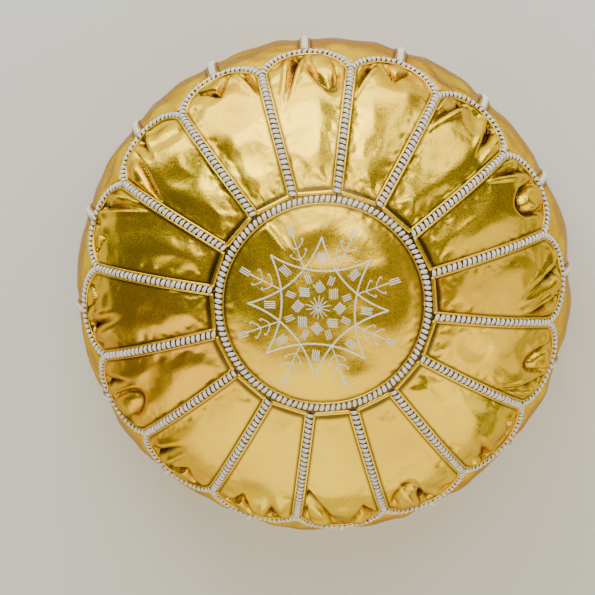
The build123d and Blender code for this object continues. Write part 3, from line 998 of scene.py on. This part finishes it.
class Shading:
    """A material being built: its nodes are added by kind and linked by name."""

    def __init__(self, name):
        self.material = bpy.data.materials.new(name)
        self.material.use_nodes = True
        self.tree = self.material.node_tree
        self.shader = self.tree.nodes["Principled BSDF"]

    def feed(self, socket, value):
        """Links a socket to another one, or sets it to a plain value."""
        if isinstance(value, bpy.types.NodeSocket):
            self.tree.links.new(value, socket)
        else:
            socket.default_value = value

    def node(self, kind, values=(), **settings):
        """A new node with its settings, and with values for its sockets."""
        node = self.tree.nodes.new(kind)
        for key, value in settings.items():
            setattr(node, key, value)
        for key, value in dict(values).items():
            self.feed(node.inputs[key], value)
        return node

    def place(self):
        """A point's place in its own object."""
        return self.node("ShaderNodeTexCoord").outputs["Object"]

    def noise(self, scale, detail=2.0, distortion=0.0):
        """Soft noise from 0 to 1."""
        values = {"Vector": self.place(), "Scale": scale, "Detail": detail, "Distortion": distortion}
        return self.node("ShaderNodeTexNoise", values).outputs["Fac"]

    def remap(self, value, low, high, to_low, to_high):
        """A value moved from one range to another, and held within it."""
        values = {"Value": value, "From Min": low, "From Max": high, "To Min": to_low, "To Max": to_high}
        return self.node("ShaderNodeMapRange", values).outputs["Result"]

    def blend(self, share, first, second):
        """Two colours mixed; the mix node's sockets for colours are its numbers 6 and 7, and 2 going out."""
        return self.node("ShaderNodeMix", {0: share, 6: first, 7: second}, data_type="RGBA").outputs[2]

    def math(self, operation, first, second):
        """Two values put together."""
        return self.node("ShaderNodeMath", {0: first, 1: second}, operation=operation).outputs[0]

    def bump(self, height, strength, distance, normal=None):
        """A surface direction roughened by a height."""
        values = {"Height": height, "Strength": strength, "Distance": distance}
        if normal is not None:
            values["Normal"] = normal
        return self.node("ShaderNodeBump", values).outputs["Normal"]

    def set(self, **values):
        """Sets the shader's sockets; an underscore stands for a space."""
        for key, value in values.items():
            self.feed(self.shader.inputs[key.replace("_", " ")], value)


def leather_material(name, light, dark, warm, painted_shade_colour, roughness):
    """Foiled leather: uneven gold, warmer patches, a fine grain, creases, and painted shade in its folds and
    beside its seams.
    """
    s = Shading(name)
    cloudy = s.noise(9.0, 3.0, distortion=0.6)
    patches = s.noise(5.0, 2.0)
    grain = s.noise(520.0, 3.0)
    crease = s.noise(60.0, 4.0, distortion=1.2)
    colour = s.blend(s.remap(cloudy, 0.35, 0.68, 0.0, 1.0), light, dark)
    colour = s.blend(s.remap(patches, 0.52, 0.72, 0.0, 0.6), colour, warm)
    colour = s.blend(s.remap(grain, 0.45, 0.8, 0.0, 0.12), colour, dark)
    # Painted shade: the mask marked on the mesh moves the colour towards the dark shade colour beside the seams
    # and in the folds.
    painted_shade_mask = s.node("ShaderNodeAttribute", attribute_name="painted_shade_mask").outputs["Fac"]
    colour = s.blend(painted_shade_mask, colour, painted_shade_colour)
    worn = s.remap(s.math("ADD", cloudy, grain), 0.7, 1.3, roughness - 0.05, roughness + 0.07)
    normal = s.bump(crease, 0.28, 0.0012)
    s.set(Base_Color=colour, Metallic=1.0, Roughness=worn, Normal=s.bump(grain, 0.12, 0.0003, normal))
    s.set(Coat_Weight=0.20, Coat_Roughness=0.12, Specular_Tint=(0.40, 0.26, 0.16, 1))
    return s.material


def thread_material(name, light, dark, scale=1.0):
    """Soft cotton thread: slight colour changes from stitch to stitch and fine fibres."""
    s = Shading(name)
    patches = s.noise(170.0 * scale, 2.0)
    fibres = s.noise(2600.0 * scale, 3.0)
    colour = s.blend(s.remap(patches, 0.35, 0.7, 0.0, 1.0), light, dark)
    colour = s.blend(s.remap(fibres, 0.3, 0.8, 0.0, 0.35), colour, dark)
    s.set(Base_Color=colour, Roughness=s.remap(fibres, 0.2, 0.8, 0.62, 0.85), Sheen_Weight=0.25)
    s.set(Sheen_Roughness=0.5, Normal=s.bump(fibres, 0.5, 0.0002))
    return s.material


def woven_material(name, light, dark, threads_per_metre):
    """A plain weave of cotton or polyester."""
    s = Shading(name)
    place = s.place()
    weave = {"Vector": place, "Scale": threads_per_metre / 20, "Distortion": 0.3}
    warp = s.node("ShaderNodeTexWave", weave)
    weft = s.node("ShaderNodeTexWave", weave, bands_direction="Y")
    cross = s.math("MULTIPLY", warp.outputs["Fac"], weft.outputs["Fac"])
    colour = s.blend(s.remap(s.math("ADD", cross, s.noise(40.0, 2.0)), 0.3, 1.3, 0.0, 1.0), dark, light)
    s.set(Base_Color=colour, Roughness=0.85, Sheen_Weight=0.2, Normal=s.bump(cross, 0.4, 0.0003))
    return s.material


def fibre_material(name, light, dark):
    """Packed fibre."""
    s = Shading(name)
    strands = s.noise(260.0, 5.0, distortion=3.0)
    colour = s.blend(strands, dark, light)
    s.set(Base_Color=colour, Roughness=0.95, Normal=s.bump(strands, 0.8, 0.002))
    return s.material


def metal_material(name, light, dark):
    """Plated zip metal with light wear."""
    s = Shading(name)
    wear = s.noise(320.0, 4.0)
    colour = s.blend(s.remap(wear, 0.4, 0.7, 0.0, 1.0), light, dark)
    s.set(Base_Color=colour, Metallic=1.0, Roughness=s.remap(wear, 0.3, 0.7, 0.22, 0.42))
    s.set(Normal=s.bump(wear, 0.15, 0.0002))
    return s.material


def nylon_material(name, light, dark):
    """The coils' dyed nylon."""
    s = Shading(name)
    tone = s.noise(500.0, 2.0)
    s.set(Base_Color=s.blend(tone, light, dark), Roughness=s.remap(tone, 0.2, 0.8, 0.3, 0.45))
    return s.material


def floor_material():
    """A pale matt floor."""
    s = Shading("pale_floor")
    tone = s.noise(3.0, 3.0)
    s.set(Base_Color=s.blend(tone, (0.74, 0.755, 0.785, 1), (0.79, 0.805, 0.835, 1)), Roughness=0.8)
    return s.material


# ---- Assembly.


def finish_piece(obj, material, slot, *nodes, body="pouf"):
    """Gives a piece its material and its body, and hides the CAD nodes that it stands for; its slot is not used.
    """
    obj.data.materials.clear()
    obj.data.materials.append(material)
    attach(obj, body)
    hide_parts(*nodes)


def repaint(node, material):
    """A CAD node that stays gets its own material."""
    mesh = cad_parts[node].data
    mesh.materials.clear()
    mesh.materials.append(material)


# The last of each set of tones is the colour of the painted shade beside the seams and in the folds.
gold_tones = ((1.0, 0.69, 0.028, 1), (0.90, 0.53, 0.020, 1), (0.92, 0.46, 0.07, 1), (0.05, 0.03, 0.012, 1))
base_tones = ((0.84, 0.58, 0.080, 1), (0.72, 0.45, 0.050, 1), (0.76, 0.42, 0.10, 1), (0.12, 0.06, 0.01, 1))
gold = leather_material("gold_leather", *gold_tones, 0.27)
base_gold = leather_material("base_leather", *base_tones, 0.36)
seam_thread = thread_material("seam_thread", (0.95, 0.90, 0.86, 1), (0.79, 0.70, 0.67, 1))
star_thread = thread_material("embroidery_thread", (0.96, 0.94, 0.88, 1), (0.86, 0.82, 0.72, 1), 1.4)
cotton = woven_material("cotton_lining", (0.88, 0.84, 0.76, 1), (0.70, 0.66, 0.58, 1), 900)
fibre = fibre_material("fibre_filling", (0.93, 0.92, 0.89, 1), (0.74, 0.72, 0.68, 1))
tape_cloth = woven_material("zip_tape", (0.58, 0.44, 0.21, 1), (0.38, 0.28, 0.12, 1), 1500)
nylon = nylon_material("zip_coil", (0.62, 0.47, 0.22, 1), (0.48, 0.35, 0.15, 1))
brass = metal_material("zip_metal", (0.84, 0.68, 0.38, 1), (0.58, 0.44, 0.22, 1))

cover = make_cover()
for node_name, piece in cover.items():
    finish_piece(piece, gold, "gold_leather", node_name)
for thread_piece, node_name in make_stitching():
    finish_piece(thread_piece, seam_thread, "seam_thread", node_name)
embroidery = make_embroidery(cover["top_medallion"])
finish_piece(embroidery, star_thread, "embroidery_thread", "medallion_embroidery")
for place, side in (("back", 1), ("front", -1)):
    finish_piece(base_half(f"leather_base_{place}", side), base_gold, "base_leather", f"base_panel_{place}")
for place, side in (("right", 1), ("left", -1)):
    strip = end_strip(f"leather_end_strip_{place}", side)
    finish_piece(strip, base_gold, "base_leather", f"zip_end_strip_{place}")
for place, side in (("back", 1), ("front", -1)):
    node_name = f"zip_tape_{place}"
    finish_piece(zip_tape(f"woven_tape_{place}", node_name, side), tape_cloth, "zip_tape", node_name)
for place, shift in (("back", 0.0), ("front", 0.5)):
    node_name = f"zip_coil_{place}"
    finish_piece(zip_coil(f"coil_{place}", node_name, shift), nylon, "zip_coil", node_name)
lining_sizes = {"depth": 0.0085, "lump": 0.001, "channel_half": 0.0215, "channel_top": 0.0112}
lining = core_piece("lining_bag", **lining_sizes, thickness=0.0008)
finish_piece(lining, cotton, "cotton_lining", "inner_lining")
filling_sizes = {"depth": 0.0108, "lump": 0.004, "channel_half": 0.0230, "channel_top": 0.0150}
filling = core_piece("packed_filling", **filling_sizes)
finish_piece(filling, fibre, "fibre_filling", "stuffing")
for node_name in ("zip_end_stops", "zip_slider", "zip_pull_tab"):
    repaint(node_name, brass)


# ---- Floor, light and camera.

FLOOR_REACH = 6
floor_corners = [(x * FLOOR_REACH, y * FLOOR_REACH, 0) for x, y in ((-1, -1), (1, -1), (1, 1), (-1, 1))]
floor = new_object("floor", floor_corners, [(0, 1, 2, 3)])
floor.data.materials.append(floor_material())

TARGET = Vector((0, 0, 0.2))


def softbox(name, direction, tilt, distance, size, watts, colour):
    """A soft light at a direction in degrees from +X and a tilt in degrees from straight up."""
    light = bpy.data.lights.new(name, "AREA")
    light.shape = "RECTANGLE"
    light.size, light.size_y = size
    light.energy = watts
    light.color = colour
    away = Vector((*(polar(math.sin(math.radians(tilt)), direction)), math.cos(math.radians(tilt))))
    obj = placed(name, light)
    obj.location = TARGET + away * distance
    obj.rotation_euler = (-away).to_track_quat("-Z", "Y").to_euler()


softbox("light_upper_left", 106, 52, 1.8, (1.1, 0.95), 20, (0.95, 1.0, 0.97))
softbox("light_top", 92, 20, 2.0, (0.8, 0.6), 7.5, (1.0, 0.98, 0.90))
softbox("light_top_low", 102, 80, 1.8, (3.4, 0.6), 26, (1.0, 0.98, 0.90))
softbox("light_upper_right", 54, 62, 1.8, (0.5, 1.2), 5.0, (1.0, 0.97, 0.88))
softbox("light_right", 352, 62, 1.8, (1.3, 1.6), 7.5, (1.0, 0.93, 0.80))
softbox("light_bottom", 268, 55, 1.9, (4.4, 2.8), 62, (1.0, 0.92, 0.60))

world = bpy.data.worlds.new("studio")
world.use_nodes = True
background = world.node_tree.nodes["Background"].inputs
background["Color"].default_value = (1.0, 0.90, 0.76, 1)
background["Strength"].default_value = 0.13
bpy.context.scene.world = world

CAMERA_TILT = math.radians(7)
CAMERA_DISTANCE = 2.2
SENSOR = 36.0
FRAME_WIDTH = 0.622  # what the camera takes in across, at the target

camera_data = bpy.data.cameras.new("camera")
camera_data.sensor_width = SENSOR
camera_data.lens = SENSOR * CAMERA_DISTANCE / FRAME_WIDTH
camera_data.shift_x = -0.0437
camera_data.shift_y = -0.0143
camera = placed("camera", camera_data)
camera.location = TARGET + CAMERA_DISTANCE * Vector((0, math.sin(CAMERA_TILT), math.cos(CAMERA_TILT)))
camera.rotation_euler = (-CAMERA_TILT, 0, 0)
bpy.context.scene.camera = camera
